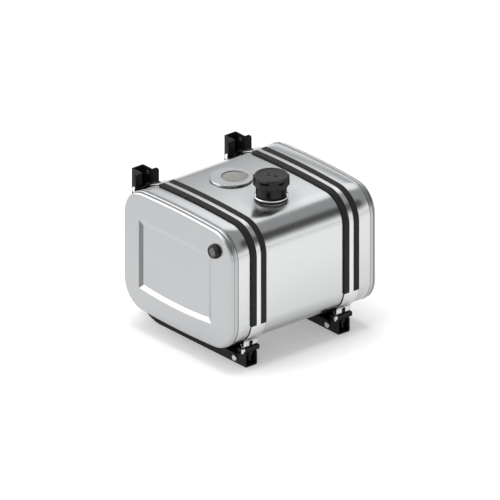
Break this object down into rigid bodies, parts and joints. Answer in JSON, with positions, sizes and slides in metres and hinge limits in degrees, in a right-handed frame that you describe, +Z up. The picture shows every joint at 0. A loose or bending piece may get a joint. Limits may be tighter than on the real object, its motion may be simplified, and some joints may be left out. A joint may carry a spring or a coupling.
{
  "type": "hydraulic reservoir",
  "caption": "Side-mounted aluminium hydraulic oil tank with rounded section, end caps, filler breather cap, filter cover and sight gauge, strapped to L-shaped frame brackets.",
  "frame": {"origin": "centre of the rectangle of four frame bolt holes, on the mounting face of the two brackets", "axes": "+X along the tank away from the gauge end, +Y out of the mounting face towards the vehicle frame, +Z up"},
  "size_m": [0.63, 0.6185, 0.5895],
  "materials": {
    "brushed_aluminium": "satin, rolled sheet with a fine grain round the tank",
    "pressed_aluminium": "satin pressed sheet, bright on the rolled rim",
    "mill_aluminium": "mill finish",
    "machined_aluminium": "turned, bright",
    "cover_aluminium": "warm grey anodised, fine turned rings",
    "stainless_band": "bright brushed along the band",
    "zinc_plated": "zinc plated",
    "black_zinc": "black zinc plated",
    "spring_steel": "drawn wire",
    "brass": "turned",
    "black_coated_steel": "black powder coat, semi-gloss",
    "rubber": "matte extruded rubber",
    "black_plastic": "moulded, fine texture",
    "dark_plastic": "moulded",
    "filter_paper": "pleated paper",
    "clear_lens": "clear"
  },
  "bodies": {
    "tank": {"shell": "brushed_aluminium", "end_cap_near": "pressed_aluminium", "end_cap_far": "pressed_aluminium", "baffle_near": "mill_aluminium", "baffle_far": "mill_aluminium", "filler_neck": "machined_aluminium", "neck_boot": "rubber", "strainer_basket": "zinc_plated", "filter_flange": "machined_aluminium", "cover_gasket": "rubber", "clamp_ring": "machined_aluminium", "inspection_cover": "cover_aluminium", "cover_screws": "zinc_plated", "filter_bowl": "dark_plastic", "filter_element": "filter_paper", "filter_spring": "spring_steel", "return_port": "machined_aluminium", "return_pipe": "mill_aluminium", "suction_port": "machined_aluminium", "suction_strainer": "zinc_plated", "gauge_body": "black_plastic", "gauge_lens": "clear_lens", "gauge_reflector": "dark_plastic", "gauge_seal": "rubber", "gauge_nut": "zinc_plated", "drain_boss": "machined_aluminium", "bracket_near": "black_coated_steel", "bracket_far": "black_coated_steel", "back_pads": "rubber", "cradle_pads": "rubber", "strap_near": "stainless_band", "strap_far": "stainless_band", "strap_edging_near": "rubber", "strap_edging_far": "rubber", "strap_pins": "zinc_plated", "pin_nuts": "zinc_plated", "t_bolts": "black_zinc", "tension_saddle_near": "black_coated_steel", "tension_saddle_far": "black_coated_steel", "tension_plate_near": "zinc_plated", "tension_plate_far": "zinc_plated", "leg_bolts": "zinc_plated", "leg_nuts": "zinc_plated"},
    "cap_seal": {"cap_gasket": "rubber", "seal_plate": "dark_plastic", "breather_element": "filter_paper", "spring_cage": "dark_plastic", "relief_spring": "spring_steel"},
    "cap": {"cap_shell": "black_plastic", "cap_thread": "black_plastic"},
    "poppet": {"relief_poppet": "brass"},
    "drain_seal": {"drain_washer": "brass"},
    "drain_screw": {"drain_plug": "zinc_plated"},
    "washer_near": {"tension_washer_near": "black_zinc"},
    "nut_near": {"tension_nut_near": "black_zinc"},
    "washer_far": {"tension_washer_far": "black_zinc"},
    "nut_far": {"tension_nut_far": "black_zinc"}
  },
  "joints": [
    {"name": "cap_turn", "type": "hinge", "parent": "cap_seal", "child": "cap", "pos_m": [-0.012, -0.459, 0.24], "axis": [0, 0, 1], "range_deg": [0, 1080]},
    {"name": "cap_lift", "type": "slide", "parent": "tank", "child": "cap_seal", "axis": [0, 0, 1], "range_m": [0, 0.0152]},
    {"name": "relief_valve", "type": "slide", "parent": "cap_seal", "child": "poppet", "axis": [0, 0, 1], "range_m": [0, 0.005], "stiffness_N_per_m": 400, "springref_m": -0.01, "deforming": ["relief_spring"]},
    {"name": "drain_turn", "type": "hinge", "parent": "drain_seal", "child": "drain_screw", "pos_m": [0, -0.337, -0.24], "axis": [0, 0, -1], "range_deg": [0, 1100]},
    {"name": "drain_travel", "type": "slide", "parent": "tank", "child": "drain_seal", "axis": [0, 0, -1], "range_m": [0, 0.006]},
    {"name": "nut_turn_near", "type": "hinge", "parent": "washer_near", "child": "nut_near", "pos_m": [-0.1965, -0.5675, -0.2207], "axis": [0, 0, -1], "range_deg": [0, 2180]},
    {"name": "nut_travel_near", "type": "slide", "parent": "tank", "child": "washer_near", "axis": [0, 0, -1], "range_m": [0, 0.009]},
    {"name": "nut_turn_far", "type": "hinge", "parent": "washer_far", "child": "nut_far", "pos_m": [0.1965, -0.5675, -0.2207], "axis": [0, 0, -1], "range_deg": [0, 2180]},
    {"name": "nut_travel_far", "type": "slide", "parent": "tank", "child": "washer_far", "axis": [0, 0, -1], "range_m": [0, 0.009]}
  ],
  "couplings": [
    {"joint": "cap_lift", "follows": "cap_turn", "m_per_rad": 0.00079577},
    {"joint": "drain_turn", "follows": "drain_travel", "rad_per_m": 3141.6},
    {"joint": "nut_turn_near", "follows": "nut_travel_near", "rad_per_m": 4188.8},
    {"joint": "nut_turn_far", "follows": "nut_travel_far", "rad_per_m": 4188.8}
  ]
}
